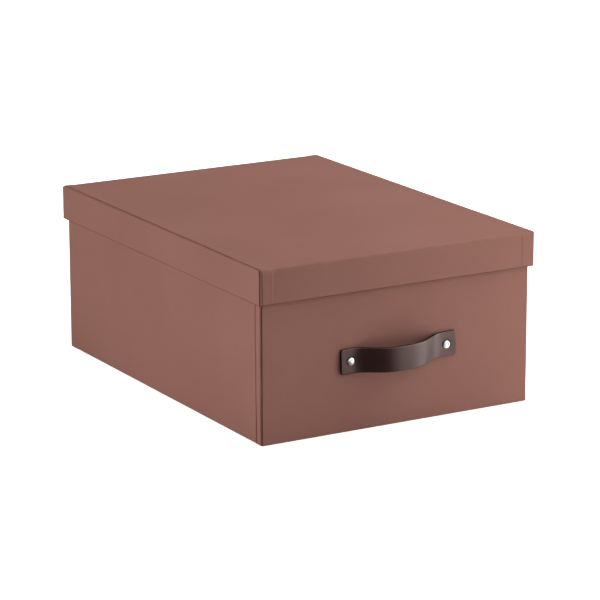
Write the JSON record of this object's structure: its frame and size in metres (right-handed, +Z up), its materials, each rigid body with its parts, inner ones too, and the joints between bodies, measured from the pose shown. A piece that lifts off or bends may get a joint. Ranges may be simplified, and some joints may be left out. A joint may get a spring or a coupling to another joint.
{
  "type": "storage box",
  "caption": "Rectangular board storage box covered in matt paper, with a deep lift-off lid and a bowed leather strap handle riveted to one short wall.",
  "frame": {"origin": "centre of the box's underside, where it stands on the table", "axes": "+Z up; -Y towards the short wall that carries the strap handle; +X to the right as one faces that wall"},
  "size_m": [0.265, 0.3756, 0.149],
  "materials": {
    "fibreboard": "matt grey-brown board",
    "covering_paper": "matt dusty terracotta paper",
    "base_paper": "matt dusty terracotta paper",
    "lining_paper": "matt paper, a little lighter inside",
    "strap_leather": "dark brown satin leather",
    "rivet_metal": "bright nickel plate"
  },
  "bodies": {
    "box": {"base_board": "fibreboard", "base_sheet": "base_paper", "floor_liner": "lining_paper", "front_board": "fibreboard", "front_liner": "lining_paper", "front_sheet": "covering_paper", "handle_strap": "strap_leather", "left_board": "fibreboard", "left_liner": "lining_paper", "left_rivet": "rivet_metal", "left_sheet": "covering_paper", "left_washer": "rivet_metal", "rear_board": "fibreboard", "rear_liner": "lining_paper", "rear_sheet": "covering_paper", "right_board": "fibreboard", "right_liner": "lining_paper", "right_rivet": "rivet_metal", "right_sheet": "covering_paper", "right_washer": "rivet_metal"},
    "lid": {"lid_ceiling_liner": "lining_paper", "lid_front_board": "fibreboard", "lid_left_board": "fibreboard", "lid_left_sheet": "covering_paper", "lid_main_sheet": "covering_paper", "lid_rear_board": "fibreboard", "lid_right_board": "fibreboard", "lid_right_sheet": "covering_paper", "lid_top_board": "fibreboard"}
  },
  "joints": [
    {"name": "lid_lift", "type": "slide", "parent": "box", "child": "lid", "axis": [0, 0, 1], "range_m": [0, 0.25]}
  ]
}
